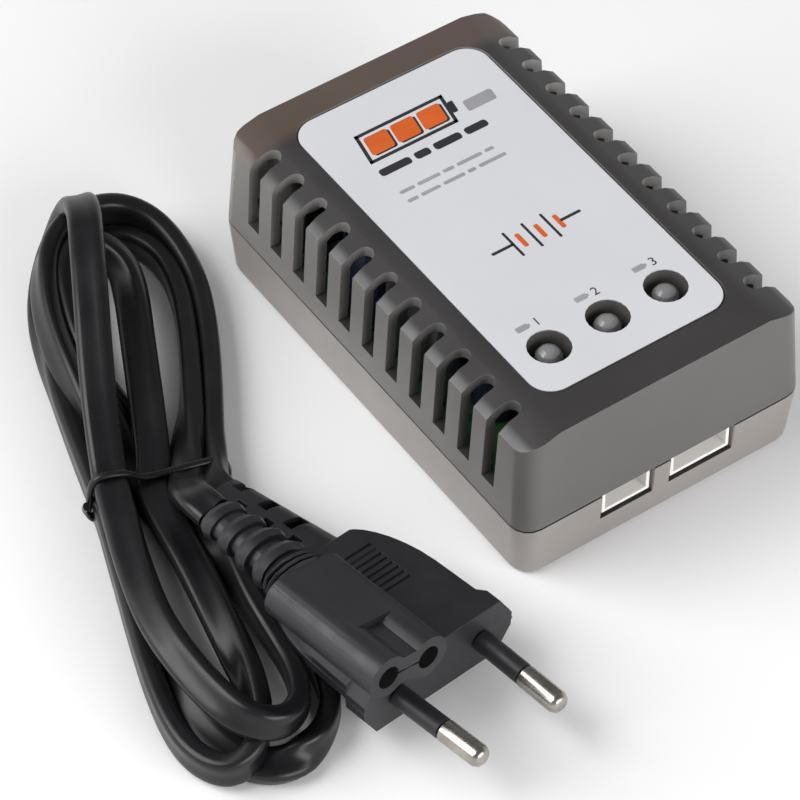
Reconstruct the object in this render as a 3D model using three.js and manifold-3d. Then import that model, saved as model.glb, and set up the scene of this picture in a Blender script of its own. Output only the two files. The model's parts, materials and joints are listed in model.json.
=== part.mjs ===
// A compact AC balance charger for small lithium battery packs, with its detached mains lead beside it.
// Millimetres, +Z up. Origin: middle of the underside of the charger. The balance sockets face -Y, the
// mains inlet faces +Y, and the lead lies on the same surface on the -X side.

import * as THREE from "three";
import { mergeVertices } from "three/addons/utils/BufferGeometryUtils.js";
import Module from "manifold-3d";

const wasm = await Module();
wasm.setup();

// ---------------------------------------------------------------- driving dimensions

const CASE_WIDTH = 59;
const CASE_LENGTH = 91;
const CASE_HEIGHT = 32.7;
const WALL = 2;
const CORNER_RADIUS = 3.8;
const RIM_TOP = 11.9; // top of the lower shell's wall
const COVER_START = 12.25; // lower edge of the upper shell
const DRAFT = 0.057; // sideways per unit of height on the upper shell
const BOTTOM_INSET = 0.75; // taper of the lower shell, each side
const EDGE_ROUND = 1;
const FLOOR_THICKNESS = 2;

const PLATEAU_HALF = 21.4; // half width of the flat centre of the top
const SHOULDER = [[26.4, 31.3], [28.5, 29.8], [31, 27.6]]; // outline of the sloping shoulder, x and z

const SLOT_COUNT = 11;
const SLOT_PITCH = 7;
const SLOT_WIDTH = 3.35;
const SLOT_FIRST_Y = 35;
const SLOT_INNER_X = 23.3;
const SLOT_BOTTOM_Z = 16.7;

const LABEL = { width: 39, length: 75, centreY: 0.6, radius: 4.5, thickness: 0.4 };
const LABEL_RECESS = 0.5;
const LAMP = { spacing: 12, y: -28, holeRadius: 3.85, bulbRadius: 2.5, flangeRadius: 2.9, top: 32.1, length: 8.6 };
const LAMP_GUARD = { wall: 0.9, bottom: 27.2 }; // tube under each lamp hole

const POST = { x: 20.3, y: 38, radius: 3, pillarRadius: 3.6, pillarTop: 13.4, bore: 1.45, headBore: 2.7 };
const SCREW = { headRadius: 2.3, headBottom: 3.2, headTop: 5, shankRadius: 1.2, tip: 24 };

const BOARD = { halfX: 25, halfY: 41, bottom: 4.7, top: 6.3 };
const REST_GAP = 0.3; // clearance under every component on the board
const SEAT = BOARD.top + REST_GAP;

const SOCKET = { depth: 11.5, top: 12.15, wall: 0.7, pitch: 2.5, pin: 0.64, endMargin: 4.9 };
const SOCKET_WINDOW = { side: 0.45, below: 0.75 }; // clearance round the socket mouths
const SOCKETS = [{ name: "balance_socket_3pin", ways: 3, x: -7.6 }, { name: "balance_socket_4pin", ways: 4, x: 7.9 }];
const SOCKET_FACE_Y = -44.7;

const INLET = { width: 19, height: 10.4, depth: 20, faceY: 45.2, mouthWidth: 16.4, mouthHeight: 8.4, mouthDepth: 17 };
const INLET_PIN = { spacing: 8.6, radius: 1.2, tipRecess: 3.5 };

// The lead. Heading turns about +Z, pitch lifts the front, roll lowers the right side; degrees.
const CORD_RADIUS = 2.2;
const HANK = { x: -69.2, y: 2.1, heading: -20.7, height: 12 };
const HANK_REAR = { s: 52, t: 2.2, radius: 14.5 };
const HANK_FRONT = { s: -50, t: -2.8, radius: 9.4 };
const HANK_WAIST = { left: -11, right: 4.9, groove: 1.6, grooveHalf: 2.4 };
const TIE = { width: 2.4, thickness: 0.9, gap: 0.4 };
const CONNECTOR = { x: -64.6, y: -63.2, z: 22.5, heading: 8, pitch: -4, roll: 13 };
const LOBE = { offset: 4.3, radius: 3.95, web: 2.7, waist: 8.7, length: 25, holeRadius: 2.1, holeDepth: 14 };
const CONTACT = { inner: 1.25, outer: 1.75, start: 3, length: 9 };
const COLLAR = { rings: 3, first: 25.1, pitch: 1.25, ringWidth: 0.75 };
const RELIEF = { ribs: 4, pitch: 4.6, ribWidth: 2.5, end: 46 };
const PLUG = { x: -54.6, y: -57.4, z: 9.4, heading: 9, pitch: -2, roll: 6 };
const PLUG_BODY = { width: 33, thickness: 12, step: 4.2, straight: 14, length: 31, neckHalf: 7, reliefEnd: 52 };
const PLUG_CHAMFER = { side: 3.1, height: 4.6 }; // sloping edges above and below the middle of the plug
const PLUG_GRIP = { first: 13.5, pitch: 1.35, count: 8, half: 6.5, groove: 0.6, depth: 0.3 };
const PLUG_SEAM = { proud: 0.15, height: 0.4 }; // moulding line round the plug
const PLUG_PIN = { spacing: 18.6, radius: 2, sleeve: 10, length: 19, toeIn: 1.66 };

// ---------------------------------------------------------------- colours

const SMOKE = new THREE.Color(0.3, 0.28, 0.26);
const BLACK = new THREE.Color(0.03, 0.03, 0.034);

function material(color, roughness, metalness = 0) {
  return new THREE.MeshStandardMaterial({ color, roughness, metalness });
}

const finish = {
  cover: material(SMOKE, 0.45),
  label: material(0xd8d8dc, 0.4),
  lamp: material(0xdfe3e6, 0.1),
  white: material(0xe4e2dc, 0.5),
  black: material(BLACK, 0.5),
  nickel: material(0xc4c0b8, 0.25, 1),
  brass: material(0xb8914a, 0.35, 1),
  steel: material(0x8d9094, 0.35, 1),
  aluminium: material(0xb9bcbf, 0.4, 1),
  board: material(0x2f5a33, 0.6),
  ferrite: material(0x2b2b2d, 0.7),
  tape: material(0xd8b53a, 0.5),
  blue: material(0x2b62a8, 0.45),
};

// ---------------------------------------------------------------- solids and meshes

const assembly = new THREE.Group();

function toSolid(geometry) {
  const bare = geometry.clone();
  bare.deleteAttribute("normal");
  bare.deleteAttribute("uv");
  const merged = mergeVertices(bare, 1e-4);
  const vertProperties = merged.attributes.position.array;
  const triVerts = Uint32Array.from(merged.index.array);
  return new wasm.Manifold(new wasm.Mesh({ numProp: 3, vertProperties, triVerts }));
}

function toGeometry(solid) {
  const mesh = solid.getMesh();
  const geometry = new THREE.BufferGeometry();
  geometry.setAttribute("position", new THREE.BufferAttribute(Float32Array.from(mesh.vertProperties), 3));
  geometry.setIndex(Array.from(mesh.triVerts));
  geometry.computeVertexNormals();
  return geometry;
}

function join(...geometries) {
  return geometries.map(toSolid).reduce((sum, piece) => sum.add(piece));
}

function cut(solid, ...geometries) {
  return geometries.map(toSolid).reduce((rest, tool) => rest.subtract(tool), solid);
}

function addMesh(name, shape, finishName, parent = assembly) {
  const geometry = shape.isBufferGeometry ? shape : toGeometry(shape);
  const mesh = new THREE.Mesh(geometry, finish[finishName]);
  mesh.name = name;
  parent.add(mesh);
  return mesh;
}

function placedGroup({ x, y, z = 0, heading = 0, pitch = 0, roll = 0 }) {
  const group = new THREE.Group();
  const toRadians = THREE.MathUtils.degToRad;
  group.rotation.set(toRadians(pitch), toRadians(roll), toRadians(heading), "ZXY");
  group.position.set(x, y, z);
  assembly.add(group);
  return group;
}

// ---------------------------------------------------------------- basic shapes

function block(x0, x1, y0, y1, z0, z1) {
  const geometry = new THREE.BoxGeometry(x1 - x0, y1 - y0, z1 - z0);
  return geometry.translate((x0 + x1) / 2, (y0 + y1) / 2, (z0 + z1) / 2);
}

function rod(radius, x, y, z0, z1, sides = 16) {
  const geometry = new THREE.CylinderGeometry(radius, radius, z1 - z0, sides);
  return geometry.rotateX(Math.PI / 2).translate(x, y, (z0 + z1) / 2);
}

// A rod along Y from y0 to y1.
function rodAlongY(radius, x, z, y0, y1, sides = 14) {
  const geometry = new THREE.CylinderGeometry(radius, radius, y1 - y0, sides);
  return geometry.translate(x, (y0 + y1) / 2, z);
}

function roundedRectangle(cx, cy, width, height, radius) {
  const shape = new THREE.Shape();
  const right = cx + width / 2 - radius;
  const left = cx - width / 2 + radius;
  const upper = cy + height / 2 - radius;
  const lower = cy - height / 2 + radius;
  shape.absarc(right, upper, radius, 0, Math.PI / 2);
  shape.absarc(left, upper, radius, Math.PI / 2, Math.PI);
  shape.absarc(left, lower, radius, Math.PI, Math.PI * 1.5);
  shape.absarc(right, lower, radius, Math.PI * 1.5, Math.PI * 2);
  return shape;
}

function extrudeUp(shape, z0, z1, curveSegments = 5) {
  const geometry = new THREE.ExtrudeGeometry(shape, { depth: z1 - z0, bevelEnabled: false, curveSegments });
  return geometry.translate(0, 0, z0);
}

// Extrudes an x-z outline along Y.
function extrudeAlong(shape, y0, y1, curveSegments = 6) {
  const geometry = new THREE.ExtrudeGeometry(shape, { depth: y1 - y0, bevelEnabled: false, curveSegments });
  return geometry.rotateX(Math.PI / 2).translate(0, y1, 0);
}

function polygon(points) {
  return new THREE.Shape(points.map(([x, y]) => new THREE.Vector2(x, y)));
}

// A closed solid through a stack of outlines, each a list of the same number of points.
function loft(rings) {
  const sides = rings[0].length;
  const positions = rings.flat().flatMap((point) => point.toArray());
  const index = [];
  for (let level = 0; level + 1 < rings.length; level += 1) {
    for (let i = 0; i < sides; i += 1) {
      const here = level * sides + i;
      const next = level * sides + ((i + 1) % sides);
      index.push(here, next, next + sides, here, next + sides, here + sides);
    }
  }
  const last = (rings.length - 1) * sides;
  for (let i = 1; i + 1 < sides; i += 1) {
    index.push(0, i + 1, i);
    index.push(last, last + i, last + i + 1);
  }
  const geometry = new THREE.BufferGeometry();
  geometry.setAttribute("position", new THREE.Float32BufferAttribute(positions, 3));
  geometry.setIndex(index);
  return geometry;
}

// A rounded rectangle at one height, four steps to a corner.
function levelRing(z, halfX, halfY, radius) {
  const steps = 4;
  const ring = [];
  [[1, 1], [-1, 1], [-1, -1], [1, -1]].forEach(([sx, sy], corner) => {
    for (let step = 0; step <= steps; step += 1) {
      const angle = (Math.PI / 2) * (corner + step / steps);
      const x = sx * (halfX - radius) + radius * Math.cos(angle);
      const y = sy * (halfY - radius) + radius * Math.sin(angle);
      ring.push(new THREE.Vector3(x, y, z));
    }
  });
  return ring;
}

// An oval across the Y axis, for the tapering strain reliefs.
function ovalRing(y, halfX, halfZ, sides = 16) {
  return Array.from({ length: sides }, (_, i) => {
    const angle = (-2 * Math.PI * i) / sides;
    return new THREE.Vector3(halfX * Math.cos(angle), y, halfZ * Math.sin(angle));
  });
}

// ---------------------------------------------------------------- the case

function coverHalfX(z) {
  return CASE_WIDTH / 2 - (z - COVER_START) * DRAFT;
}

function coverBlock(inset, z0, z1) {
  const radius = CORNER_RADIUS - inset * 0.6;
  const grow = CASE_LENGTH / 2 - CASE_WIDTH / 2;
  const ring = (z) => levelRing(z, coverHalfX(z) - inset, coverHalfX(z) + grow - inset, radius);
  return loft([ring(z0), ring(z1)]);
}

function topOutline(drop) {
  const half = [[PLATEAU_HALF - drop * 0.3, CASE_HEIGHT], ...SHOULDER.map(([x, z]) => [x - drop * 0.4, z])];
  const right = half.map(([x, z]) => [x, z - drop]);
  right.push([40, 18]);
  right.push([40, 0]);
  const left = right.map(([x, z]) => [-x, z]).reverse();
  return polygon([...right.reverse(), ...left.reverse()]);
}

function ventSlots() {
  const slots = [];
  for (let i = 0; i < SLOT_COUNT; i += 1) {
    const y = SLOT_FIRST_Y - i * SLOT_PITCH;
    for (const side of [-1, 1]) {
      const radius = SLOT_WIDTH / 2;
      const shape = new THREE.Shape();
      shape.absarc(SLOT_INNER_X + radius, y, radius, Math.PI / 2, Math.PI * 1.5);
      shape.lineTo(40, y - radius);
      shape.lineTo(40, y + radius);
      const slot = extrudeUp(shape, SLOT_BOTTOM_Z, 40, 6);
      slots.push(side > 0 ? slot : slot.rotateZ(Math.PI).translate(0, 2 * y, 0));
    }
  }
  return slots;
}

function postPlaces() {
  return [[-1, 1], [1, 1], [-1, -1], [1, -1]].map(([sx, sy]) => [sx * POST.x, sy * POST.y]);
}

function lampPlaces() {
  return [-1, 0, 1].map((i) => [i * LAMP.spacing, LAMP.y]);
}

function inletOpening(margin) {
  const z0 = SEAT - margin;
  const z1 = SEAT + INLET.height + margin;
  return block(-INLET.width / 2 - margin, INLET.width / 2 + margin, 40, 50, z0, z1);
}

function topCover() {
  const roof = CASE_HEIGHT - WALL;
  const outer = toSolid(coverBlock(0, COVER_START, CASE_HEIGHT)).intersect(toSolid(extrudeAlong(topOutline(0), -50, 50)));
  const innerBlock = toSolid(coverBlock(WALL, COVER_START - 1, CASE_HEIGHT));
  const inner = innerBlock.intersect(toSolid(extrudeAlong(topOutline(WALL), -50, 50)));
  let shell = outer.subtract(inner);
  for (const [x, y] of postPlaces()) {
    shell = shell.add(toSolid(rod(POST.radius, x, y, POST.pillarTop + REST_GAP, roof + 1)));
  }
  for (const [x, y] of lampPlaces()) {
    shell = shell.add(toSolid(rod(LAMP.holeRadius + LAMP_GUARD.wall, x, y, LAMP_GUARD.bottom, roof + 1, 20)));
  }
  const bores = postPlaces().map(([x, y]) => rod(POST.bore, x, y, COVER_START, SCREW.tip + 1, 10));
  const lampHoles = lampPlaces().map(([x, y]) => rod(LAMP.holeRadius, x, y, 26, 40, 20));
  const recess = roundedRectangle(0, LABEL.centreY, LABEL.width + 0.8, LABEL.length + 0.8, LABEL.radius + 0.4);
  const labelSeat = extrudeUp(recess, CASE_HEIGHT - LABEL_RECESS, 40);
  return cut(shell, ...bores, ...lampHoles, labelSeat, inletOpening(REST_GAP), ...ventSlots());
}

function socketWidth(ways) {
  return SOCKET.endMargin + SOCKET.pitch * (ways - 1);
}

function bottomCover() {
  const halfX = CASE_WIDTH / 2;
  const halfY = CASE_LENGTH / 2;
  const lowX = halfX - BOTTOM_INSET;
  const lowY = halfY - BOTTOM_INSET;
  const outer = loft([
    levelRing(0, lowX - EDGE_ROUND, lowY - EDGE_ROUND, CORNER_RADIUS - EDGE_ROUND),
    levelRing(EDGE_ROUND * 0.3, lowX - EDGE_ROUND * 0.3, lowY - EDGE_ROUND * 0.3, CORNER_RADIUS - EDGE_ROUND * 0.3),
    levelRing(EDGE_ROUND, lowX, lowY, CORNER_RADIUS),
    levelRing(RIM_TOP, halfX, halfY, CORNER_RADIUS),
  ]);
  const wall = WALL + 0.4;
  const inner = loft([
    levelRing(FLOOR_THICKNESS, lowX - wall, lowY - wall, CORNER_RADIUS - 1.5),
    levelRing(RIM_TOP + 1, halfX - wall, halfY - wall, CORNER_RADIUS - 1.5),
  ]);
  const lipOut = WALL + 0.15;
  const lipIn = WALL + 1.3;
  const lipTop = COVER_START + 1.4;
  const lip = cut(
    toSolid(loft([
      levelRing(RIM_TOP - 2, halfX - lipOut, halfY - lipOut, CORNER_RADIUS - 1.2),
      levelRing(lipTop, halfX - lipOut, halfY - lipOut, CORNER_RADIUS - 1.2),
    ])),
    loft([
      levelRing(RIM_TOP - 3, halfX - lipIn, halfY - lipIn, CORNER_RADIUS - 2),
      levelRing(lipTop + 1, halfX - lipIn, halfY - lipIn, CORNER_RADIUS - 2),
    ]),
  );
  let shell = cut(toSolid(outer), inner).add(lip);
  for (const [x, y] of postPlaces()) {
    shell = shell.add(toSolid(rod(POST.pillarRadius, x, y, FLOOR_THICKNESS - 0.5, POST.pillarTop)));
    const ribX = Math.sign(x) * (POST.x - 8);
    shell = shell.add(toSolid(block(ribX - 1, ribX + 1, y - 2, y + 2, FLOOR_THICKNESS - 0.5, BOARD.bottom - REST_GAP)));
  }
  const bores = postPlaces().flatMap(([x, y]) => [
    rod(POST.headBore, x, y, -1, SCREW.headTop + 0.2, 14),
    rod(POST.bore, x, y, 1, 20, 10),
  ]);
  const windows = SOCKETS.map(({ ways, x }) => {
    const half = socketWidth(ways) / 2 + SOCKET_WINDOW.side;
    return block(x - half, x + half, -50, -40, SEAT - SOCKET_WINDOW.below, 20);
  });
  return cut(shell, ...bores, ...windows, inletOpening(REST_GAP));
}

function frontLabel() {
  const outline = roundedRectangle(0, LABEL.centreY, LABEL.width, LABEL.length, LABEL.radius);
  const top = CASE_HEIGHT - 0.05;
  const sheet = toSolid(extrudeUp(outline, top - LABEL.thickness, top));
  return cut(sheet, ...lampPlaces().map(([x, y]) => rod(LAMP.holeRadius, x, y, 26, 40, 20)));
}

function lamp(x, y) {
  const base = LAMP.top - LAMP.length;
  const shoulder = LAMP.top - LAMP.bulbRadius;
  const outline = [
    new THREE.Vector2(0, base),
    new THREE.Vector2(LAMP.flangeRadius, base),
    new THREE.Vector2(LAMP.flangeRadius, base + 1),
    new THREE.Vector2(LAMP.bulbRadius, base + 1),
  ];
  for (let step = 0; step < 4; step += 1) {
    const angle = (Math.PI / 2) * (step / 4);
    outline.push(new THREE.Vector2(LAMP.bulbRadius * Math.cos(angle), shoulder + LAMP.bulbRadius * Math.sin(angle)));
  }
  outline.push(new THREE.Vector2(0, LAMP.top));
  const bulb = new THREE.LatheGeometry(outline, 16).rotateX(Math.PI / 2).translate(x, y, 0);
  const leads = [-1.27, 1.27].map((offset) => block(x + offset - 0.25, x + offset + 0.25, y - 0.25, y + 0.25, SEAT, base + 0.5));
  return join(bulb, ...leads);
}

function caseScrew(x, y) {
  const head = rod(SCREW.headRadius, x, y, SCREW.headBottom, SCREW.headTop, 12);
  const shank = rod(SCREW.shankRadius, x, y, SCREW.headTop - 0.5, SCREW.tip, 8);
  const drive = [block(x - 1.3, x + 1.3, y - 0.3, y + 0.3, 0, SCREW.headBottom + 0.9)];
  drive.push(block(x - 0.3, x + 0.3, y - 1.3, y + 1.3, 0, SCREW.headBottom + 0.9));
  return cut(join(head, shank), ...drive);
}

// ---------------------------------------------------------------- sockets and inlet

function balanceSocket({ ways, x }) {
  const half = socketWidth(ways) / 2;
  const back = SOCKET_FACE_Y + SOCKET.depth;
  const wall = SOCKET.wall;
  const mouth = block(x - half + wall, x + half - wall, -50, back - 4, SEAT + wall, SOCKET.top - wall);
  const span = SOCKET.pitch * (ways - 1) / 2;
  const keys = [-1, 1].map((side) => {
    const centre = x + side * span;
    return block(centre - 0.7, centre + 0.7, -50, SOCKET_FACE_Y + 6, SOCKET.top - wall - 0.5, 20);
  });
  const pinHoles = pinPlaces({ ways, x }).map((pin) => {
    const clear = SOCKET.pin / 2 + 0.12;
    return block(pin - clear, pin + clear, -50, 0, socketPinZ() - clear, socketPinZ() + clear);
  });
  return cut(toSolid(block(x - half, x + half, SOCKET_FACE_Y, back, SEAT, SOCKET.top)), mouth, ...keys, ...pinHoles);
}

function pinPlaces({ ways, x }) {
  return Array.from({ length: ways }, (_, i) => x + (i - (ways - 1) / 2) * SOCKET.pitch);
}

function socketPinZ() {
  return (SEAT + SOCKET.top) / 2;
}

function socketPin(x) {
  const half = SOCKET.pin / 2;
  const back = SOCKET_FACE_Y + SOCKET.depth + 1.2;
  const z = socketPinZ();
  const along = block(x - half, x + half, SOCKET_FACE_Y + 3, back, z - half, z + half);
  const down = block(x - half, x + half, back - SOCKET.pin, back, SEAT, z + half);
  return join(along, down);
}

function mainsInlet() {
  const half = INLET.width / 2;
  const zMid = SEAT + INLET.height / 2;
  const body = toSolid(block(-half, half, INLET.faceY - INLET.depth, INLET.faceY, SEAT, SEAT + INLET.height));
  const outline = roundedRectangle(0, zMid, INLET.mouthWidth, INLET.mouthHeight, INLET.mouthHeight / 2 - 0.01);
  const mouth = extrudeAlong(outline, INLET.faceY - INLET.mouthDepth, 50);
  const holes = [-1, 1].map((side) => rodAlongY(INLET_PIN.radius + 0.1, side * INLET_PIN.spacing / 2, zMid, 20, 40, 12));
  return cut(body, mouth, ...holes);
}

function inletPin(side) {
  const zMid = SEAT + INLET.height / 2;
  const x = side * INLET_PIN.spacing / 2;
  const back = INLET.faceY - INLET.depth;
  const shaft = rodAlongY(INLET_PIN.radius, x, zMid, back - 2.5, INLET.faceY - INLET_PIN.tipRecess, 12);
  const tail = block(x - 0.6, x + 0.6, back - 2.5, back - 1.3, SEAT, zMid);
  return join(shaft, tail);
}

// ---------------------------------------------------------------- board and components

function circuitBoard() {
  const outline = roundedRectangle(0, 0, 2 * BOARD.halfX, 2 * BOARD.halfY, 1.5);
  const holes = postPlaces().map(([x, y]) => rod(POST.pillarRadius + 0.4, x, y, 0, 20));
  return cut(toSolid(extrudeUp(outline, BOARD.bottom, BOARD.top)), ...holes);
}

function transformerCore() {
  const [x, y] = [8.5, 6];
  const frame = block(x - 11, x + 11, y - 3.5, y + 3.5, SEAT + 2, SEAT + 20);
  const legs = [-1, 1].map((side) => block(x + side * 6 - 2.9, x + side * 6 + 2.9, -10, 22, SEAT + 5.5, SEAT + 16.5));
  return cut(toSolid(frame), ...legs);
}

function transformerWinding() {
  const [x, y] = [8.5, 6];
  const bobbin = block(x - 8.6, x + 8.6, y - 9.5, y + 9.5, SEAT + 5.8, SEAT + 16.2);
  const centreLeg = block(x - 3.4, x + 3.4, -10, 22, SEAT + 4, SEAT + 18);
  const halves = cut(toSolid(bobbin), centreLeg);
  const cheeks = [-1, 1].map((side) => {
    const near = y + side * 3.9;
    const far = y + side * 9.5;
    return block(x - 8.6, x + 8.6, Math.min(near, far), Math.max(near, far), SEAT + 5.8, SEAT + 16.2);
  });
  return cheeks.map(toSolid).reduce((sum, cheek) => sum.add(cheek), halves);
}

function uprightCapacitor(radius, x, y, height) {
  const outline = [
    [0, 0], [radius, 0], [radius, 1], [radius - 0.5, 1.4], [radius, 1.8], [radius, height], [radius - 0.6, height],
    [radius - 0.6, height - 0.4], [0, height - 0.4],
  ].map(([r, z]) => new THREE.Vector2(r, z + SEAT));
  return new THREE.LatheGeometry(outline, 18).rotateX(Math.PI / 2).translate(x, y, 0);
}

// A body lying along X on two wire legs.
function axialPart(radius, length, x, y, z) {
  const body = rod(radius, 0, 0, -length / 2, length / 2, 10).rotateY(Math.PI / 2).translate(x, y, z);
  const wire = rod(0.35, 0, 0, -length / 2 - 2, length / 2 + 2, 6).rotateY(Math.PI / 2).translate(x, y, z);
  const reach = length / 2 + 1.7;
  const legs = [-1, 1].map((side) => rod(0.35, x + side * reach, y, SEAT, z, 6));
  return join(body, wire, ...legs);
}

function dualInlineChip(x, y, halfX, halfY) {
  const body = block(x - halfX, x + halfX, y - halfY, y + halfY, SEAT + 1, SEAT + 4.2);
  const legs = [];
  for (const side of [-1, 1]) {
    for (let offset = -halfY + 1.1; offset < halfY; offset += 2.54) {
      const edge = x + side * (halfX + 0.35);
      legs.push(block(edge - 0.4, edge + 0.4, y + offset - 0.35, y + offset + 0.35, SEAT, SEAT + 2.6));
    }
  }
  return join(body, ...legs);
}

function tabPackage(x, y) {
  const body = block(x, x + 4.4, y - 5, y + 5, SEAT + 4, SEAT + 13);
  const tab = block(x, x + 1.3, y - 5, y + 5, SEAT + 12.5, SEAT + 18);
  const legs = [-2.54, 0, 2.54].map((offset) => block(x + 2, x + 2.6, y + offset - 0.4, y + offset + 0.4, SEAT, SEAT + 4.5));
  return join(body, tab, ...legs);
}

function heatSink(x, y) {
  const plate = block(x - 1.5, x, y - 8, y + 8, SEAT, SEAT + 19);
  const fins = [-7, 0, 7].map((offset) => block(x - 4.5, x - 1, y + offset - 0.6, y + offset + 0.6, SEAT, SEAT + 19));
  return join(plate, ...fins);
}

function suppressionCapacitor(x, y) {
  const disc = rodAlongY(4.2, x, SEAT + 6.4, y - 1.8, y + 1.8, 16);
  const legs = [-3, 3].map((offset) => rod(0.35, x + offset, y, SEAT, SEAT + 6, 6));
  return join(disc, ...legs);
}

function buildCharger() {
  addMesh("top_cover", topCover(), "cover");
  addMesh("bottom_cover", bottomCover(), "cover");
  addMesh("front_label", frontLabel(), "label");
  lampPlaces().forEach(([x, y], i) => addMesh(`led_${i + 1}`, lamp(x, y), "lamp"));
  postPlaces().forEach(([x, y], i) => addMesh(`case_screw_${i + 1}`, caseScrew(x, y), "steel"));
  for (const socket of SOCKETS) {
    addMesh(socket.name, balanceSocket(socket), "white");
    pinPlaces(socket).forEach((x, i) => addMesh(`socket_${socket.ways}pin_contact_${i + 1}`, socketPin(x), "nickel"));
  }
  addMesh("mains_inlet", mainsInlet(), "black");
  addMesh("inlet_pin_left", inletPin(-1), "nickel");
  addMesh("inlet_pin_right", inletPin(1), "nickel");
  addMesh("circuit_board", circuitBoard(), "board");
  addMesh("transformer_core", transformerCore(), "ferrite");
  addMesh("transformer_winding", transformerWinding(), "tape");
  addMesh("bulk_capacitor", uprightCapacitor(6.3, -16, 15, 20), "black");
  for (let i = 0; i < 3; i += 1) {
    addMesh(`output_capacitor_${i + 1}`, uprightCapacitor(4, -13 + i * 10.5, -15, 13), "black");
  }
  for (let i = 0; i < 4; i += 1) {
    addMesh(`rectifier_diode_${i + 1}`, axialPart(1.35, 5.2, -17, 23.1 + i * 3.1, SEAT + 1.7), "black");
  }
  addMesh("fuse", axialPart(2.1, 8, 17, 29, SEAT + 3), "white");
  addMesh("suppression_capacitor", suppressionCapacitor(16, 21), "blue");
  addMesh("heat_sink", heatSink(-17, -2), "aluminium");
  addMesh("switching_transistor", tabPackage(-16.7, -2), "black");
  addMesh("control_chip", dualInlineChip(-6.5, -1, 3.2, 4.7), "black");
  addMesh("optocoupler", dualInlineChip(20, -9, 3.2, 2.3), "white");
  addMesh("output_rectifier", axialPart(2.6, 9, 15.5, -20.5, SEAT + 3), "black");
}

// ---------------------------------------------------------------- the mains lead

function hankOutline() {
  const { s: rear, t: rearT, radius: rearR } = HANK_REAR;
  const { s: front, t: frontT, radius: frontR } = HANK_FRONT;
  const shape = new THREE.Shape();
  shape.absarc(rearT, rear, rearR, 0, Math.PI);
  shape.lineTo(HANK_WAIST.left, 0);
  shape.absarc(frontT, front, frontR, Math.PI, 2 * Math.PI);
  shape.lineTo(HANK_WAIST.right, -4);
  shape.lineTo(HANK_WAIST.right, 4);
  return shape;
}

function cordHank() {
  const body = toSolid(extrudeUp(hankOutline(), 0, HANK.height, 8));
  const half = HANK_WAIST.grooveHalf;
  return cut(body, block(-30, 30, -half, half, -1, HANK_WAIST.groove));
}

// A flat band round the waist of the hank.
function cordTie() {
  const reach = TIE.gap + TIE.thickness;
  const midX = (HANK_WAIST.left + HANK_WAIST.right) / 2;
  const low = HANK_WAIST.groove - reach;
  const high = HANK.height + reach;
  const width = HANK_WAIST.right - HANK_WAIST.left + 2 * reach;
  const band = roundedRectangle(midX, (low + high) / 2, width, high - low, 2);
  const inner = roundedRectangle(midX, (low + high) / 2, width - 2 * TIE.thickness, high - low - 2 * TIE.thickness, 1.1);
  const whole = toSolid(extrudeAlong(band, -TIE.width / 2, TIE.width / 2));
  return cut(whole, extrudeAlong(inner, -TIE.width, TIE.width));
}

function cordTube(points) {
  const path = new THREE.CatmullRomCurve3(points.map(([x, y, z]) => new THREE.Vector3(x, y, z)));
  const section = new THREE.Shape().absarc(0, 0, CORD_RADIUS, 0, 2 * Math.PI);
  const steps = Math.max(3, Math.round(path.getLength() / (5 * CORD_RADIUS)));
  return new THREE.ExtrudeGeometry(section, { steps, curveSegments: 4, extrudePath: path });
}

function connectorLobes() {
  const outline = new THREE.Shape();
  const meet = Math.asin(LOBE.web / LOBE.radius);
  outline.absarc(LOBE.offset, 0, LOBE.radius, meet - Math.PI, Math.PI - meet);
  outline.absarc(-LOBE.offset, 0, LOBE.radius, meet, 2 * Math.PI - meet);
  const oval = roundedRectangle(0, 0, 2 * (LOBE.offset + LOBE.radius) - 0.1, 2 * LOBE.radius - 0.1, LOBE.radius - 0.1);
  return join(extrudeAlong(outline, 0, LOBE.length, 8), extrudeAlong(oval, LOBE.waist, LOBE.length, 8));
}

// Fine rings where the body meets its strain relief.
function connectorCollar() {
  const rings = Array.from({ length: COLLAR.rings }, (_, i) => {
    const y = COLLAR.first + i * COLLAR.pitch;
    const shrink = i * 0.45;
    const crest = y + COLLAR.ringWidth / 2;
    return loft([
      ovalRing(y, 6.6 - shrink, 4.1 - shrink * 0.3),
      ovalRing(crest, 6.9 - shrink, 4.4 - shrink * 0.3),
      ovalRing(y + COLLAR.ringWidth, 6.6 - shrink, 4.1 - shrink * 0.3),
    ]);
  });
  const shoulder = loft([ovalRing(LOBE.length - 2, 7.9, 3.7), ovalRing(LOBE.length + 0.2, 6.6, 4.1)]);
  const core = loft([ovalRing(LOBE.length - 1, 6.1, 3.8), ovalRing(LOBE.length + 4.2, 4.8, 3.4)]);
  return join(shoulder, core, ...rings);
}

function connectorRelief() {
  const core = loft([ovalRing(LOBE.length + 3, 3.9, 3), ovalRing(RELIEF.end, 3.3, 2.3)]);
  const ribs = Array.from({ length: RELIEF.ribs }, (_, i) => {
    const y = LOBE.length + 4.4 + i * RELIEF.pitch;
    const shrink = i * 0.35;
    return loft([
      ovalRing(y, 5.1 - shrink, 3.9 - shrink),
      ovalRing(y + RELIEF.ribWidth / 2, 5.5 - shrink, 4.3 - shrink),
      ovalRing(y + RELIEF.ribWidth, 4.9 - shrink, 3.7 - shrink),
    ]);
  });
  const spine = block(-1.6, 1.6, LOBE.length, RELIEF.end - 2, -3, 1.4);
  return join(core, spine, ...ribs);
}

function connectorBody() {
  const holes = [-1, 1].map((side) => rodAlongY(LOBE.holeRadius, side * LOBE.offset, 0, -1, LOBE.holeDepth, 16));
  const slit = block(-LOBE.offset, LOBE.offset, -1, 0.6, -0.2, 0.2);
  return cut(connectorLobes().add(connectorCollar()).add(connectorRelief()), ...holes, slit);
}

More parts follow.
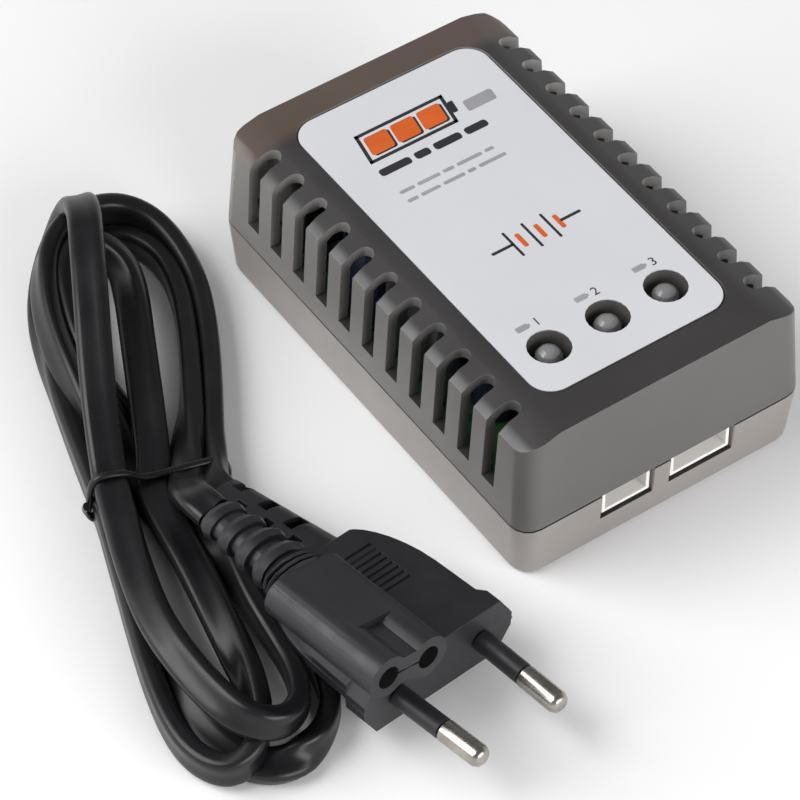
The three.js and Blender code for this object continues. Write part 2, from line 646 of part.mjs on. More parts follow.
function connectorContact(side) {
  const { inner, outer, start, length } = CONTACT;
  const outline = [[inner, 0], [outer, 0], [outer, length], [inner, length], [inner, 0]];
  const points = outline.map(([r, y]) => new THREE.Vector2(r, y));
  return new THREE.LatheGeometry(points, 12).translate(side * LOBE.offset, start, 0);
}

// The plug's outline at its middle height, reaching in front of its flat face by so much.
function plugOutline(front) {
  const half = PLUG_BODY.width / 2;
  const { step, straight, length, neckHalf } = PLUG_BODY;
  const shape = new THREE.Shape();
  shape.moveTo(-half, -front);
  shape.lineTo(half, -front);
  shape.lineTo(half, step);
  shape.lineTo(half - 1.2, step + 1.5);
  shape.lineTo(half - 1.5, straight);
  shape.bezierCurveTo(half - 1.9, length - 9, half - 5.5, length - 1.5, neckHalf, length);
  shape.lineTo(-neckHalf, length);
  shape.bezierCurveTo(-half + 5.5, length - 1.5, -half + 1.9, length - 9, -half + 1.5, straight);
  shape.lineTo(-half + 1.2, step + 1.5);
  shape.lineTo(-half, step);
  return shape;
}

function plugBody() {
  const { length, neckHalf, thickness, reliefEnd, width } = PLUG_BODY;
  const { side, height } = PLUG_CHAMFER;
  const chamfered = new THREE.ExtrudeGeometry(plugOutline(side + 1), {
    depth: thickness - 2 * height, bevelEnabled: true, bevelSize: side, bevelThickness: height, bevelOffset: -side,
    bevelSegments: 1, curveSegments: 7,
  }).translate(0, 0, -thickness / 2 + height);
  const seam = new THREE.ExtrudeGeometry(plugOutline(side), { depth: PLUG_SEAM.height, bevelEnabled: false, curveSegments: 7 });
  const grow = 1 + (2 * PLUG_SEAM.proud) / width;
  seam.scale(grow, grow, 1).translate(0, 0, -PLUG_SEAM.height / 2);
  const beyondFace = block(-width, width, -20, 0, -10, 10);
  const neck = loft([
    ovalRing(length - 5, neckHalf + 0.6, 4.9), ovalRing(length + 2, neckHalf - 0.4, 4.4), ovalRing(reliefEnd, 3.9, 2.7),
  ]);
  const pockets = [1, -1].flatMap((sideX) => [0, 1, 2].map((row) => {
    const y = length + (sideX > 0 ? 4.6 : 1.2) + row * 6.4;
    const reach = 2.1 - row * 0.25;
    return block(sideX * 2.4 - reach, sideX * 2.4 + reach, y, y + 2.2, -10, 10);
  }));
  const grooves = Array.from({ length: PLUG_GRIP.count }, (_, i) => {
    const y = PLUG_GRIP.first + i * PLUG_GRIP.pitch;
    const low = thickness / 2 - PLUG_GRIP.depth;
    return block(-PLUG_GRIP.half, PLUG_GRIP.half, y, y + PLUG_GRIP.groove, low, 10);
  });
  return cut(join(chamfered, seam, neck), beyondFace, ...pockets, ...grooves);
}

function plugPin(radius, y0, y1, rounded) {
  const outline = [[0, y0], [radius, y0]];
  if (rounded) {
    outline.push([radius, y1 - 1.2], [radius * 0.8, y1 - 0.4], [radius * 0.45, y1]);
  } else {
    outline.push([radius, y1]);
  }
  outline.push([0, y1]);
  const lathe = new THREE.LatheGeometry(outline.map(([r, y]) => new THREE.Vector2(r, y)), 14);
  return lathe.rotateZ(Math.PI);
}

function buildConnector() {
  const group = placedGroup(CONNECTOR);
  addMesh("connector_body", connectorBody(), "black", group);
  addMesh("connector_contact_left", connectorContact(-1), "brass", group);
  addMesh("connector_contact_right", connectorContact(1), "brass", group);
}

function buildPlug() {
  const group = placedGroup(PLUG);
  addMesh("plug_body", plugBody(), "black", group);
  for (const [side, name] of [[-1, "left"], [1, "right"]]) {
    const pinGroup = new THREE.Group();
    pinGroup.position.set(side * PLUG_PIN.spacing / 2, -0.3, 0);
    pinGroup.rotation.z = THREE.MathUtils.degToRad(-side * PLUG_PIN.toeIn);
    group.add(pinGroup);
    addMesh(`plug_pin_sleeve_${name}`, plugPin(PLUG_PIN.radius * 0.96, 0, PLUG_PIN.sleeve, false), "black", pinGroup);
    const metal = plugPin(PLUG_PIN.radius, PLUG_PIN.sleeve + 0.3, PLUG_PIN.length, true);
    addMesh(`plug_pin_${name}`, metal, "nickel", pinGroup);
  }
}

function buildLead() {
  const hank = placedGroup(HANK);
  addMesh("cord_hank", cordHank(), "black", hank);
  addMesh("cord_tie", cordTie(), "black", hank);
  addMesh("connector_tail", cordTube([[-71.2, -17, 19.2], [-71.8, -12.8, 18.8], [-72.1, -8.6, 17.3], [-72.3, -5.2, 15.2]]), "black");
  addMesh("plug_tail", cordTube([[-62.8, -5.4, 7.6], [-63.1, -4.1, 7.6], [-63.5, -2.9, 7.6]]), "black");
  buildConnector();
  buildPlug();
}

buildCharger();
buildLead();

export default assembly;
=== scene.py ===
"""Looks of a compact balance charger and its mains lead: fine meshes, materials, light and camera."""

import json
import math

import bmesh
import bpy
from mathutils import Matrix, Vector


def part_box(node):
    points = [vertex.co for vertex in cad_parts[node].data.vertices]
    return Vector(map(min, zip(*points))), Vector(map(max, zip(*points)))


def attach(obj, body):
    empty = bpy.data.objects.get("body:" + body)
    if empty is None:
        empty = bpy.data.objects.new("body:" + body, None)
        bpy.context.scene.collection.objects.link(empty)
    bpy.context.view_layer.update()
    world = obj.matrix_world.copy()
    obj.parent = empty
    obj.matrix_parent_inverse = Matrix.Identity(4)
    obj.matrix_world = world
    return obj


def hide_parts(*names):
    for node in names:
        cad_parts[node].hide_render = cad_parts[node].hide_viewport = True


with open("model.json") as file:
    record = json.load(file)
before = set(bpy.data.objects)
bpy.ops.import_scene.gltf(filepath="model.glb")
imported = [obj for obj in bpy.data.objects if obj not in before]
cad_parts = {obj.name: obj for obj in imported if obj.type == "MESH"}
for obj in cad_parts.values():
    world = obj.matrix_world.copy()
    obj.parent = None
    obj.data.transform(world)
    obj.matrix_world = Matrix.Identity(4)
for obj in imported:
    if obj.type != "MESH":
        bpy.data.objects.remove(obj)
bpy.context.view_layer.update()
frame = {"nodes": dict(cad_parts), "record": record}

MM = 0.001
SLOT_OF = {row["node"]: row["material_slot"] for row in frame["record"]["subparts"]}
BODY_OF = {node: body for body, nodes in frame["record"]["behaviour"]["bodies"].items() for node in nodes}


# ---------------------------------------------------------------- camera

CAMERA_AZIMUTH = 34.722
CAMERA_ELEVATION = 48.49
CAMERA_TARGET = Vector((-19.26, 4.61, -6.35)) * MM
CAMERA_DISTANCE = 0.7366
CAMERA_LENS = 189.56


def make_camera():
    azimuth, elevation = math.radians(CAMERA_AZIMUTH), math.radians(CAMERA_ELEVATION)
    back = Vector((-math.sin(azimuth) * math.cos(elevation), -math.cos(azimuth) * math.cos(elevation),
                   math.sin(elevation)))
    data = bpy.data.cameras.new("camera")
    data.lens = CAMERA_LENS
    data.sensor_width = 36
    data.clip_start = 0.01
    data.clip_end = 20
    camera = bpy.data.objects.new("camera", data)
    camera.location = CAMERA_TARGET + back * CAMERA_DISTANCE
    camera.rotation_euler = (-back).to_track_quat("-Z", "Y").to_euler()
    bpy.context.scene.collection.objects.link(camera)
    bpy.context.scene.camera = camera


make_camera()


# ---------------------------------------------------------------- materials

class Graph:
    """A node material with one Principled shader and short calls for what it is fed by."""

    def __init__(self, name, color, roughness, metallic=0.0, **sockets):
        self.material = bpy.data.materials.new(name)
        self.material.use_nodes = True
        self.nodes = self.material.node_tree.nodes
        self.links = self.material.node_tree.links
        self.shader = self.nodes["Principled BSDF"]
        self.shader.inputs["Base Color"].default_value = (*color, 1)
        self.shader.inputs["Roughness"].default_value = roughness
        self.shader.inputs["Metallic"].default_value = metallic
        for socket, value in sockets.items():
            self.shader.inputs[socket.replace("_", " ").title().replace("Ior", "IOR")].default_value = value
        self.place = self.nodes.new("ShaderNodeTexCoord").outputs["Object"]

    def noise(self, scale, detail=4.0, roughness=0.55, stretch=None):
        node = self.nodes.new("ShaderNodeTexNoise")
        node.inputs["Scale"].default_value = scale
        node.inputs["Detail"].default_value = detail
        node.inputs["Roughness"].default_value = roughness
        place = self.place
        if stretch:
            mapping = self.nodes.new("ShaderNodeMapping")
            mapping.inputs["Scale"].default_value = stretch
            self.links.new(self.place, mapping.inputs["Vector"])
            place = mapping.outputs["Vector"]
        self.links.new(place, node.inputs["Vector"])
        return node.outputs["Fac"]

    def ramp(self, factor, low, high, start=0.3, end=0.7):
        node = self.nodes.new("ShaderNodeValToRGB")
        node.color_ramp.elements[0].position = start
        node.color_ramp.elements[1].position = end
        node.color_ramp.elements[0].color = (*low, 1)
        node.color_ramp.elements[1].color = (*high, 1)
        self.links.new(factor, node.inputs["Fac"])
        return node.outputs["Color"]

    def along(self, axis, start, end):
        """How far a point lies between two places on one axis of the frame, from 0 to 1."""
        split = self.nodes.new("ShaderNodeSeparateXYZ")
        self.links.new(self.place, split.inputs["Vector"])
        node = self.nodes.new("ShaderNodeMapRange")
        node.interpolation_type = "SMOOTHSTEP"
        node.inputs["From Min"].default_value = start
        node.inputs["From Max"].default_value = end
        self.links.new(split.outputs[axis], node.inputs["Value"])
        return node.outputs["Result"]

    def facing_up(self, start, end):
        """From 0 on a wall to 1 on a surface that faces up."""
        split = self.nodes.new("ShaderNodeSeparateXYZ")
        self.links.new(self.nodes.new("ShaderNodeTexCoord").outputs["Normal"], split.inputs["Vector"])
        node = self.nodes.new("ShaderNodeMapRange")
        node.inputs["From Min"].default_value = start
        node.inputs["From Max"].default_value = end
        self.links.new(split.outputs["Z"], node.inputs["Value"])
        return node.outputs["Result"]

    def mixed(self, factor, low, high):
        node = self.nodes.new("ShaderNodeMix")
        node.data_type = "RGBA"
        self.links.new(factor, node.inputs[0])
        self.links.new(low, node.inputs[6])
        self.links.new(high, node.inputs[7])
        return node.outputs[2]

    def color(self, output):
        self.links.new(output, self.shader.inputs["Base Color"])

    def vary_roughness(self, factor, low, high):
        node = self.nodes.new("ShaderNodeMapRange")
        node.inputs["From Min"].default_value = 0.3
        node.inputs["From Max"].default_value = 0.7
        node.inputs["To Min"].default_value = low
        node.inputs["To Max"].default_value = high
        self.links.new(factor, node.inputs["Value"])
        self.links.new(node.outputs["Result"], self.shader.inputs["Roughness"])

    def bump(self, height, distance, strength=1.0):
        node = self.nodes.new("ShaderNodeBump")
        node.inputs["Strength"].default_value = strength
        node.inputs["Distance"].default_value = distance
        self.links.new(height, node.inputs["Height"])
        if self.shader.inputs["Normal"].is_linked:
            self.links.new(self.shader.inputs["Normal"].links[0].from_socket, node.inputs["Normal"])
        self.links.new(node.outputs["Normal"], self.shader.inputs["Normal"])


def scaled(color, factor):
    return tuple(channel * factor for channel in color)


def simple(name, color, roughness, metallic=0.0, grain=900.0, spread=0.12, depth=0.00002, **sockets):
    """A finish with mottled colour and roughness and a fine moulded or rolled grain."""
    graph = Graph(name, color, roughness, metallic, **sockets)
    blotches = graph.noise(60)
    graph.color(graph.ramp(blotches, scaled(color, 1 - spread), scaled(color, 1 + spread)))
    graph.vary_roughness(graph.noise(220), roughness * 0.85, min(1, roughness * 1.2))
    graph.bump(graph.noise(grain, 3), depth, 0.6)
    return graph.material


def smoke_plastic():
    """Smoke-tinted polycarbonate whose colour is painted light and shade in place of light through the
    translucent shell: painted shade darkens the upward faces, painted light makes the walls paler towards the
    rear and palest on the lower shell, and a paler, warmer painted backlight lies across the rear of the
    upward faces.
    """
    graph = Graph("smoke_plastic", (0.15, 0.14, 0.13), 0.34, transmission_weight=0.35, ior=1.5,
                  coat_weight=0.2, coat_roughness=0.3)
    swirl = graph.noise(22, 3)
    # Painted light: the walls of the lower shell are painted palest, standing in for light through the
    # translucent shell.
    low = graph.ramp(swirl, (0.37, 0.335, 0.316), (0.43, 0.39, 0.37))
    # Painted shade on the front walls and painted light on the rear walls, blended from front to rear.
    front = graph.ramp(swirl, (0.135, 0.128, 0.122), (0.165, 0.158, 0.15))
    rear = graph.ramp(swirl, (0.3, 0.288, 0.275), (0.35, 0.337, 0.322))
    walls = graph.mixed(graph.along("Y", -0.035, 0.04), front, rear)
    # Painted shade: the upward faces are painted dark.
    roof_shade_paint = graph.ramp(swirl, (0.046, 0.0425, 0.0425), (0.064, 0.06, 0.06))
    # Painted backlight: a paler, warmer band across the rear of the upward faces, where light comes through
    # the rear wall.
    backlit_band_paint = graph.ramp(swirl, (0.125, 0.089, 0.073), (0.155, 0.113, 0.094))
    # The lower shell takes the palest painted light, the walls above it the front-to-rear painted gradient.
    sides = graph.mixed(graph.along("Z", 0.0119, 0.0122), low, walls)
    top = graph.mixed(graph.along("Y", 0.035, 0.0385), roof_shade_paint, backlit_band_paint)
    # Painted shade by facing: upward faces take the dark paint, walls the paler painted light.
    graph.color(graph.mixed(graph.facing_up(0.3, 0.6), sides, top))
    graph.vary_roughness(graph.noise(160), 0.3, 0.42)
    graph.bump(graph.noise(1500, 2), 0.000012, 0.5)
    return graph.material


def black_sheath():
    """Flexible vinyl of the cord, with faint drawing lines and a waxy gloss."""
    graph = Graph("black_rubber", (0.008, 0.008, 0.009), 0.32, specular_ior_level=0.36)
    graph.color(graph.ramp(graph.noise(90), (0.005, 0.005, 0.006), (0.01, 0.01, 0.011)))
    graph.vary_roughness(graph.noise(140), 0.26, 0.38)
    graph.bump(graph.noise(700, 3), 0.00003, 0.35)
    return graph.material


def black_moulding():
    """Moulded vinyl of the plug and connector, with a spark-eroded satin grain."""
    graph = Graph("black_plastic", (0.011, 0.011, 0.013), 0.48, specular_ior_level=0.55)
    graph.color(graph.ramp(graph.noise(120), (0.008, 0.008, 0.01), (0.014, 0.014, 0.017)))
    graph.vary_roughness(graph.noise(260), 0.42, 0.56)
    graph.bump(graph.noise(2600, 3), 0.00004, 0.55)
    return graph.material


def label_film():
    graph = Graph("label_film", (0.63, 0.635, 0.66), 0.38)
    graph.color(graph.ramp(graph.noise(35), (0.61, 0.615, 0.64), (0.65, 0.655, 0.68)))
    graph.vary_roughness(graph.noise(400), 0.34, 0.46)
    graph.bump(graph.noise(1800, 2), 0.00001, 0.4)
    return graph.material


def nickel():
    graph = Graph("nickel", (0.5, 0.47, 0.43), 0.26, 1.0)
    graph.color(graph.ramp(graph.noise(300), (0.3, 0.28, 0.245), (0.42, 0.4, 0.365)))
    graph.vary_roughness(graph.noise(600, 3, 0.6, (1, 6, 1)), 0.2, 0.32)
    graph.bump(graph.noise(1200, 2, 0.6, (1, 8, 1)), 0.0000015, 0.4)
    return graph.material


def board_laminate():
    graph = Graph("board_laminate", (0.03, 0.12, 0.05), 0.4)
    traces = graph.nodes.new("ShaderNodeTexVoronoi")
    traces.distance = "MANHATTAN"
    traces.inputs["Scale"].default_value = 260
    graph.links.new(graph.place, traces.inputs["Vector"])
    graph.color(graph.ramp(traces.outputs["Distance"], (0.02, 0.085, 0.03), (0.045, 0.16, 0.07), 0.2, 0.5))
    graph.bump(traces.outputs["Distance"], 0.00005, 0.4)
    return graph.material


FINISHES = {
    "smoke_plastic": smoke_plastic(),
    "label_film": label_film(),
    "lamp_resin": simple(
        "lamp_resin", (0.3, 0.3, 0.305), 0.16, grain=300, spread=0.08, transmission_weight=0.3, ior=1.5),
    "screw_steel": simple("screw_steel", (0.4, 0.4, 0.41), 0.35, 1.0),
    "white_nylon": simple("white_nylon", (0.84, 0.82, 0.78), 0.42, spread=0.04),
    "black_plastic": black_moulding(),
    "black_rubber": black_sheath(),
    "nickel": nickel(),
    "contact_brass": simple("contact_brass", (0.5, 0.36, 0.14), 0.35, 1.0),
    "board_laminate": board_laminate(),
    "ferrite": simple("ferrite", (0.03, 0.03, 0.032), 0.6, depth=0.00005),
    "yellow_tape": simple("yellow_tape", (0.6, 0.42, 0.05), 0.35, grain=200),
    "capacitor_sleeve": simple("capacitor_sleeve", (0.02, 0.025, 0.05), 0.25, grain=150),
    "bare_aluminium": simple("bare_aluminium", (0.6, 0.61, 0.62), 0.35, 1.0),
    "blue_ceramic": simple("blue_ceramic", (0.03, 0.12, 0.38), 0.3, grain=500),
}
INK_DARK = simple("ink_dark", (0.02, 0.02, 0.022), 0.45, grain=1500, depth=0.000005)
INK_ORANGE = simple("ink_orange", (0.62, 0.11, 0.012), 0.42, grain=1500, depth=0.000005)
INK_GREY = simple("ink_grey", (0.3, 0.3, 0.32), 0.45, grain=1500, depth=0.000005)


# ---------------------------------------------------------------- mesh helpers

def link(name, mesh, body, slot, material=None):
    piece = bpy.data.objects.new(name, mesh)
    bpy.context.scene.collection.objects.link(piece)
    piece.data.materials.clear()
    piece.data.materials.append(material or FINISHES[slot])
    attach(piece, body)
    return piece


def shade(mesh, angle=35.0):
    """Smooth faces, with edges sharper than the angle kept crisp."""
    for face in mesh.polygons:
        face.use_smooth = True
    mesh.set_sharp_from_angle(angle=math.radians(angle))


def refined(node, radius, segments=2, sharp=32.0, smallest=0.0):
    """A fine copy of a CAD node, with its hard edges rounded, which stands for that node.

    Edges beside a face smaller than the smallest, in square millimetres, stay as they are.
    """
    source = frame["nodes"][node].data
    work = bmesh.new()
    work.from_mesh(source)
    bmesh.ops.remove_doubles(work, verts=work.verts, dist=1e-6)
    bmesh.ops.dissolve_limit(work, angle_limit=math.radians(1.5), verts=work.verts, edges=work.edges)
    limit = smallest * MM * MM
    edges = [e for e in work.edges if len(e.link_faces) == 2 and e.calc_face_angle(0) > math.radians(sharp)
             and min(face.calc_area() for face in e.link_faces) >= limit]
    bmesh.ops.bevel(work, geom=edges, offset=radius, segments=segments, profile=0.5, affect="EDGES",
                    clamp_overlap=True, miter_outer="ARC")
    mesh = bpy.data.meshes.new(node + "_fine")
    work.to_mesh(mesh)
    work.free()
    shade(mesh)
    piece = link(node + "_fine", mesh, BODY_OF[node], SLOT_OF[node])
    flat = piece.modifiers.new("even_shading", "WEIGHTED_NORMAL")
    flat.keep_sharp = True
    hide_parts(node)
    return piece


# ---------------------------------------------------------------- the mains lead

HANK_ORIGIN = Vector((-69.2, 2.1, 0))
HANK_HEADING = math.radians(-20.7)
CORD_WIDTH = 6.1
CORD_THICKNESS = 3.6
CORD_SHOULDER = 1.25
CORD_GROOVE = 0.16

# Where the cord runs, from the connector to the plug. Each point is across, along and above the table in the
# hank's own directions. Then come two angles in degrees: how far the flat cord leans from lying flat towards
# standing on edge, and how far its flat side is turned in plan.
TO_TIE = [
    (4.9, -18.6, 19.2, 10, 25), (3.3, -15.3, 18.9, 8, 20), (2.4, -11.4, 16.9, 4, 10), (2.6, -7.2, 12.9, 0, 0),
    (3.4, -3, 8.8, 0, 0),
]
REAR_INNER = [
    (4.3, 1.6, 6.0, 0, 0), (6.2, 10, 5.0, 40, 0), (8.9, 20, 4.4, 80, 0), (11.2, 33, 3.9, 90, 0),
    (12.1, 44, 3.8, 90, 0), (10.9, 53, 3.8, 90, 0), (7.0, 58.8, 3.8, 90, 0), (1.4, 60.4, 3.7, 90, 0),
    (-3.9, 57.4, 3.5, 90, 0), (-7.2, 50.6, 3.4, 90, 0), (-7.8, 40, 3.2, 88, 0), (-6.0, 28, 2.8, 60, 0),
    (-2.6, 18, 2.3, 15, 0), (1.2, 9, 1.9, 0, 0),
]
FRONT_TOP = [
    (4.2, 0, 1.9, 0, 0), (5.0, -6, 3.4, 10, 0), (5.8, -13, 5.4, 20, 0), (7.0, -20, 6.0, 50, 0),
    (8.8, -28, 6.1, 80, 0), (10.9, -36.5, 6.2, 90, 0), (12.3, -44, 6.6, 90, 0), (11.6, -50.6, 7.6, 88, 0),
    (7.8, -55.2, 9.2, 75, 15), (2.6, -54.8, 10.8, 58, 25), (-1.6, -49.6, 11.4, 46, 20),
    (-5.2, -40.6, 11.0, 37, 5), (-7.8, -30, 10.2, 28, 0), (-8.7, -18.2, 9.3, 15, 0), (-8.8, -8, 8.7, 5, 0),
]
REAR_TOP = [
    (-8.8, 0, 8.3, 0, 0), (-8.5, 5, 8.9, 0, 0), (-7.8, 13.5, 11.6, 3, 0), (-6.5, 24, 15.0, 6, 0),
    (-4.9, 35, 17.8, 8, 0), (-3.4, 45.5, 19.4, 8, 0), (-2.4, 53, 18.9, 6, 0), (-2.3, 59, 15.9, 3, 0),
    (-3.3, 62.2, 11.0, 0, 0), (-5.6, 61.4, 6.2, 0, 0), (-8.6, 57.0, 3.3, 5, 0), (-11.2, 49, 2.6, 20, 0),
    (-12.6, 39, 2.9, 60, 0), (-12.7, 28, 3.1, 90, 0), (-11.8, 14, 3.1, 90, 0),
]
FRONT_OUTER = [
    (-10.6, 0, 3.1, 90, 0), (-10.4, -8, 3.1, 90, 0), (-10.3, -18, 3.1, 90, 0), (-10.2, -28, 3.1, 90, 0),
    (-9.8, -39, 3.2, 90, 0), (-8.6, -48.4, 3.3, 90, 0), (-6.2, -54.8, 3.5, 90, 0), (-2.2, -58.6, 4.0, 90, 0),
    (2.2, -57.6, 5.2, 90, 0), (4.7, -52.6, 6.2, 82, 0), (4.9, -45.6, 6.8, 62, 0), (4.0, -38, 7.0, 36, 0),
    (2.6, -29, 7.2, 12, 0), (0.8, -18, 7.2, 0, 0), (-1.1, -8, 6.4, 0, 0),
]
REAR_MIDDLE = [
    (-2.0, 0, 5.6, 0, 0), (-0.6, 6, 6.0, 0, 0), (0.9, 19, 7.0, 8, 0), (2.2, 32, 7.8, 12, 0),
    (3.2, 42.5, 8.2, 25, 0), (2.9, 49.6, 8.4, 55, 0), (0.2, 54.8, 8.5, 80, 0), (-4.1, 55.6, 8.3, 88, 0),
    (-7.1, 51.0, 7.9, 82, 0), (-8.2, 43.0, 7.3, 70, 0), (-8.2, 34, 6.4, 58, 0), (-7.0, 25, 5.3, 40, 0),
    (-4.8, 14, 3.7, 15, 0),
]
FRONT_TABLE = [
    (-2.0, 0, 1.9, 0, 0), (1.5, -6, 1.9, 0, 0), (6.5, -14, 1.9, 0, 20), (11.2, -23, 2.2, 15, 20),
    (15.0, -32.6, 2.9, 60, 0), (17.2, -42, 3.1, 90, 0), (16.8, -49.8, 3.1, 90, 0), (13.0, -56.0, 3.0, 65, 60),
    (7.4, -58.6, 2.6, 25, 85), (1.9, -56.8, 2.3, 8, 60), (-2.6, -51, 2.3, 14, 30), (-5.6, -42, 2.7, 32, 15),
    (-7.0, -31, 3.0, 60, 0), (-7.2, -18, 3.1, 85, 0), (-7.0, -8, 3.1, 90, 0),
]
REAR_OUTER = [
    (-6.9, 0, 3.1, 90, 0), (-7.2, 6, 3.3, 90, 0), (-8.6, 16, 4.8, 75, 0), (-10.6, 27, 6.8, 60, 0),
    (-11.7, 38, 7.6, 60, 0), (-11.3, 47, 8.6, 64, 0), (-9.0, 54.9, 9.4, 74, 0), (-4.2, 60.6, 9.6, 85, 0),
    (1.6, 63.4, 8.8, 90, 0), (6.8, 63.2, 7.6, 90, 0), (11.3, 59.6, 6.2, 90, 0), (14.3, 52.8, 4.8, 90, 0),
    (15.6, 44.5, 3.9, 90, 0), (14.9, 33.4, 3.4, 90, 0), (12.9, 21, 3.3, 90, 0), (10.6, 10.5, 3.6, 80, 0),
]
TO_PLUG = [
    (8.9, 3.6, 4.9, 48, 0), (8.0, -0.4, 6.4, 22, 10), (8.2, -3.0, 7.3, 8, 25), (8.96, -5.3, 7.6, 6, 30),
]
ROUTE = [
    *TO_TIE, *REAR_INNER, *FRONT_TOP, *REAR_TOP, *FRONT_OUTER, *REAR_MIDDLE, *FRONT_TABLE, *REAR_OUTER,
    *TO_PLUG,
]
CURVE_STEPS = 7
CURVE_ROUNDS = 4


def from_hank(across, along, height):
    cosine, sine = math.cos(HANK_HEADING), math.sin(HANK_HEADING)
    turned = Vector((across * cosine - along * sine, across * sine + along * cosine, height))
    return (HANK_ORIGIN + turned) * MM


def hank_direction(lean, turn):
    lean, turn = math.radians(lean), math.radians(turn)
    flat = Vector((math.cos(turn), math.sin(turn), 0)) * math.cos(lean)
    cosine, sine = math.cos(HANK_HEADING), math.sin(HANK_HEADING)
    return Vector((flat.x * cosine - flat.y * sine, flat.x * sine + flat.y * cosine, math.sin(lean)))


def spline(values, steps):
    """A smooth curve through the values, in even steps between each two of them."""
    out = []
    padded = [values[0] * 2 - values[1], *values, values[-1] * 2 - values[-2]]
    for a, b, c, d in zip(padded, padded[1:], padded[2:], padded[3:]):
        for step in range(steps):
            t = step / steps
            out.append(0.5 * ((2 * b) + (c - a) * t + (2 * a - 5 * b + 4 * c - d) * t * t
                              + (3 * b - a - 3 * c + d) * t * t * t))
    out.append(values[-1])
    return out


def relaxed(points, rounds):
    """Evens the curve out, as a stiff cord would, with both ends held."""
    for _ in range(rounds):
        middle = [(a + 2 * b + c) / 4 for a, b, c in zip(points, points[1:], points[2:])]
        points = [points[0], *middle, points[-1]]
    return points


def cord_section():
    """The outline of the flat cord: flat faces dished by a shallow groove, and edges with round shoulders."""
    half, thin, radius = CORD_WIDTH / 2, CORD_THICKNESS / 2, CORD_SHOULDER
    outline = []
    for side in (1, -1):
        for turn, centre in ((-90, radius - thin), (0, thin - radius)):
            for step in range(5):
                angle = math.radians(turn + 90 * step / 4)
                outline.append((side * (half - radius + radius * math.cos(angle)),
                                side * (centre + radius * math.sin(angle))))
        outline.append((side * half * 0.3, side * (thin - CORD_GROOVE * 0.6)))
        outline.append((0, side * (thin - CORD_GROOVE)))
        outline.append((-side * half * 0.3, side * (thin - CORD_GROOVE * 0.6)))
    return outline


def cross_directions(path, sides, i):
    """The directions of the cord's width and thickness at one point of its path."""
    tangent = (path[min(i + 1, len(path) - 1)] - path[max(i - 1, 0)]).normalized()
    wide = (sides[i] - tangent * sides[i].dot(tangent)).normalized()
    return wide, tangent.cross(wide)


def sweep(name, path, sides, outline):
    vertices, faces = [], []
    count = len(outline)
    for i, point in enumerate(path):
        wide, thin = cross_directions(path, sides, i)
        vertices.extend(point + (wide * x + thin * y) * MM for x, y in outline)
        if i:
            row = (i - 1) * count
            faces.extend((row + j, row + (j + 1) % count, row + count + (j + 1) % count, row + count + j)
                         for j in range(count))
    faces.append(tuple(reversed(range(count))))
    faces.append(tuple(range(len(vertices) - count, len(vertices))))
    mesh = bpy.data.meshes.new(name)
    mesh.from_pydata(vertices, [], faces)
    work = bmesh.new()
    work.from_mesh(mesh)
    bmesh.ops.recalc_face_normals(work, faces=work.faces)
    work.to_mesh(mesh)
    work.free()
    shade(mesh, 60)
    return mesh


def lifted(path, sides, outline):
    """Raises the path wherever the leaning cord would sink into the table."""
    out = []
    for i, point in enumerate(path):
        wide, thin = cross_directions(path, sides, i)
        reach = -min(wide.z * x + thin.z * y for x, y in outline) * MM
        out.append(Vector((point.x, point.y, max(point.z, reach))))
    return out


def make_cord():
    outline = cord_section()
    path = relaxed(spline([from_hank(*point[:3]) for point in ROUTE], CURVE_STEPS), CURVE_ROUNDS)
    sides = relaxed(spline([hank_direction(*point[3:]) for point in ROUTE], CURVE_STEPS), CURVE_ROUNDS)
    path = lifted(path, sides, outline)
    mesh = sweep("mains_cord", path, sides, outline)
    cord = link("mains_cord", mesh, "mains_lead", "black_rubber")
    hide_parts("cord_hank", "connector_tail", "plug_tail")
    return cord, path


cord, cord_path = make_cord()


def make_tie():
    """A thin wire tie pulled round the waist of the hank, with its twisted ends at the left."""
    across = [(-12.9, 0.6, 3.4), (-12.2, 0.8, 8.6), (-10.6, 0.9, 10.6), (-6.5, 1.0, 10.4), (-3.0, 1.2, 8.2),
              (2.5, 1.6, 8.1), (7.0, 2.2, 7.9), (10.4, 2.9, 6.9), (11.6, 3.1, 4.4), (11.2, 3.0, 1.2),
              (8.0, 2.4, 0.55), (0.0, 1.4, 0.55), (-9.0, 0.7, 0.55), (-12.2, 0.5, 0.9), (-13.1, 0.5, 2.4),
              (-13.6, 0.0, 4.2), (-13.5, -1.0, 6.0)]
    path = relaxed(spline([from_hank(*point) for point in across], 6), 2)
    outline = [(0.75 * math.cos(math.tau * i / 10), 0.55 * math.sin(math.tau * i / 10)) for i in range(10)]
    along = Vector((-math.sin(HANK_HEADING), math.cos(HANK_HEADING), 0))
    mesh = sweep("wire_tie", path, [along] * len(path), outline)
    tie = link("wire_tie", mesh, "mains_lead", "black_rubber")
    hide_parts("cord_tie")
    return tie


tie = make_tie()


# ---------------------------------------------------------------- fine copies of the rigid pieces

lead_pieces = [
    refined("connector_body", 0.3 * MM, 3, 32, 3.0),
    refined("plug_body", 0.6 * MM, 3, 32, 4.2),
]
for side in ("left", "right"):
    lead_pieces.append(refined("plug_pin_sleeve_" + side, 0.12 * MM, 2))
    lead_pieces.append(refined("plug_pin_" + side, 0.15 * MM, 2, 50))

refined("top_cover", 0.45 * MM, 3)
refined("bottom_cover", 0.3 * MM, 2)
refined("front_label", 0.06 * MM, 2)
for node in ("balance_socket_3pin", "balance_socket_4pin"):
    refined(node, 0.12 * MM, 2)
refined("mains_inlet", 0.2 * MM, 2)

for node, thing in frame["nodes"].items():
    if not thing.hide_render:
        thing.data.materials.clear()
        thing.data.materials.append(FINISHES[SLOT_OF[node]])


# ---------------------------------------------------------------- print on the label

LABEL_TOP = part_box("front_label")[1].z
INK = 0.02 * MM
LAMP_SPACING = 12.0
GAUGE_LENGTH = 18.4
GAUGE_LINE = 0.7


